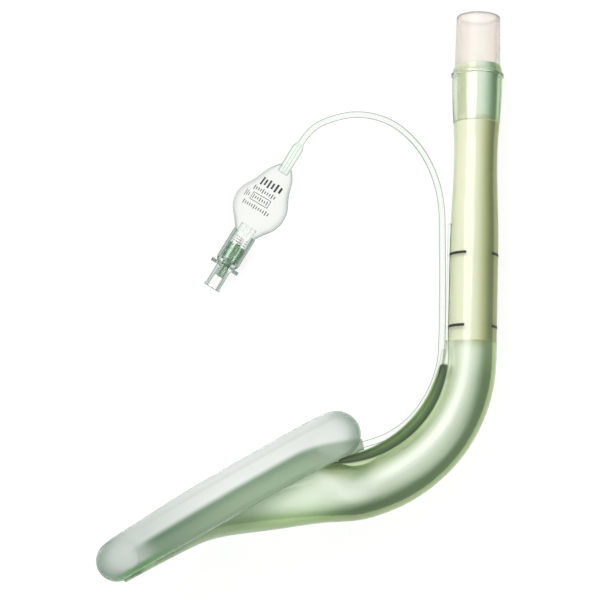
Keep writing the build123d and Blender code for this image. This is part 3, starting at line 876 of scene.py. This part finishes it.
# Materials of the pieces that stay as they come from the frame
finishes = {
    "airway_tube": tube_green,
    "connector": connector_white,
    "bite_block": bite_cream,
    "balloon_port": port_clear,
    "valve_body": barrel_clear,
    "valve_cap": cap_clear,
    "valve_seal": seal_rubber,
    "valve_core": core_green,
}
for name, material in finishes.items():
    nodes[name].data.materials.clear()
    nodes[name].data.materials.append(material)

# The bore that grips the bite block, as a second material of the tube
bore = nodes["airway_tube"].data
bore.materials.append(bonded_material())
bore_radii = (6.2, 6.6)
bore_ends = (5.5, 82.2)
for polygon in bore.polygons:
    centre = polygon.center / MM
    off_axis = math.hypot(centre.x - shift.x, centre.z - shift.z)
    if bore_radii[0] < off_axis < bore_radii[1] and bore_ends[0] < centre.y - shift.y < bore_ends[1]:
        polygon.material_index = 1


# Printed rings on the straight tube
def printed_arc(name, y, start, end):
    """A printed arc round the tube, from one turn in degrees to another."""
    width = 0.95
    count = 96
    verts = []
    for i in range(count + 1):
        turn = math.radians(mix(start, end, i / count))
        for edge in (-0.5, 0.5):
            x = tube_radius * math.sin(turn)
            verts.append(place(x, y + edge * width, tube_radius * math.cos(turn)))
    piece = mesh_object(name, verts, grid_faces(count + 1, 2, False, False), ink)
    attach(piece, "airway")


printed_arc("depth_ring_upper", 35.3, 41.0, 337.0)
printed_arc("depth_ring_lower", 10.5, 45.0, 335.5)


# Floor, light and background
def backdrop_factor(tree):
    """1 for rays that should meet a white background: straight, mirrored or through clear plastic."""
    path = tree.nodes.new("ShaderNodeLightPath")
    total = path.outputs["Is Camera Ray"]
    for kind in ("Is Glossy Ray", "Is Transmission Ray"):
        either = tree.nodes.new("ShaderNodeMath")
        either.operation = "MAXIMUM"
        tree.links.new(total, either.inputs[0])
        tree.links.new(path.outputs[kind], either.inputs[1])
        total = either.outputs["Value"]
    return total


floor_shader = Shader("floor_white")
paper = floor_shader.add("BsdfDiffuse")
floor_shader.link(
    floor_shader.ramp(floor_shader.noise(8.0), [(0.0, (0.9, 0.9, 0.9)), (1.0, (0.93, 0.93, 0.93))]),
    paper.inputs["Color"],
)
glow = floor_shader.add("Emission")
glow.inputs["Strength"].default_value = 1.04
either = floor_shader.add("MixShader")
share = floor_shader.times(backdrop_factor(floor_shader.tree), 0.8)
floor_shader.link(share, either.inputs["Fac"])
floor_shader.link(paper.outputs["BSDF"], either.inputs[1])
floor_shader.link(glow.outputs["Emission"], either.inputs[2])
gone = floor_shader.add("BsdfTransparent")
behind = floor_shader.add("MixShader")
floor_shader.link(floor_shader.add("LightPath").outputs["Is Transmission Ray"], behind.inputs["Fac"])
floor_shader.link(either.outputs["Shader"], behind.inputs[1])
floor_shader.link(gone.outputs["BSDF"], behind.inputs[2])
floor_shader.finish(behind.outputs["Shader"])
bpy.ops.mesh.primitive_plane_add(size=6.0, location=(0, 0, -0.00002))
floor = bpy.context.object
floor.name = "floor"
floor.data.materials.append(floor_shader.material)

world = bpy.data.worlds.new("studio")
scene.world = world
world.use_nodes = True
tree = world.node_tree
tree.nodes.clear()
world_out = tree.nodes.new("ShaderNodeOutputWorld")
ambient = tree.nodes.new("ShaderNodeBackground")
ambient.inputs["Color"].default_value = (1, 1, 1, 1)
ambient.inputs["Strength"].default_value = 0.6
white = tree.nodes.new("ShaderNodeBackground")
white.inputs["Color"].default_value = (1, 1, 1, 1)
white.inputs["Strength"].default_value = 1.0
pick = tree.nodes.new("ShaderNodeMixShader")
tree.links.new(backdrop_factor(tree), pick.inputs["Fac"])
tree.links.new(ambient.outputs["Background"], pick.inputs[1])
tree.links.new(white.outputs["Background"], pick.inputs[2])
dark_side = tree.nodes.new("ShaderNodeVectorMath")
dark_side.operation = "DOT_PRODUCT"
dark_side.inputs[1].default_value = (0.76, -0.65, 0.0)
tree.links.new(tree.nodes.new("ShaderNodeTexCoord").outputs["Generated"], dark_side.inputs[0])
falloff = tree.nodes.new("ShaderNodeValToRGB")
stops = [(0.0, 1.0), (0.3, 0.85), (0.6, 0.65), (1.0, 0.55)]
while len(falloff.color_ramp.elements) < len(stops):
    falloff.color_ramp.elements.new(0.5)
for element, (at, grey) in zip(falloff.color_ramp.elements, stops):
    element.position = at
    element.color = (grey * 0.97, grey, grey * 0.95, 1.0)
tree.links.new(dark_side.outputs["Value"], falloff.inputs["Fac"])
seen_through = tree.nodes.new("ShaderNodeBackground")
tree.links.new(falloff.outputs["Color"], seen_through.inputs["Color"])
through = tree.nodes.new("ShaderNodeMixShader")
tree.links.new(tree.nodes.new("ShaderNodeLightPath").outputs["Is Transmission Ray"], through.inputs["Fac"])
tree.links.new(pick.outputs["Shader"], through.inputs[1])
tree.links.new(seen_through.outputs["Background"], through.inputs[2])
tree.links.new(through.outputs["Shader"], world_out.inputs["Surface"])


def softbox(name, position, size, power):
    lamp_data = bpy.data.lights.new(name, "AREA")
    lamp_data.shape = "SQUARE"
    lamp_data.size = size
    lamp_data.energy = power
    lamp = bpy.data.objects.new(name, lamp_data)
    lamp.location = position
    lamp.rotation_euler = (-Vector(position)).to_track_quat("-Z", "Y").to_euler()
    scene.collection.objects.link(lamp)


softbox("softbox_top", (-0.25, 0.3, 0.95), 0.7, 6.0)
softbox("softbox_side", (0.8, -0.4, 0.5), 0.4, 1.8)

scene.view_settings.view_transform = "Standard"
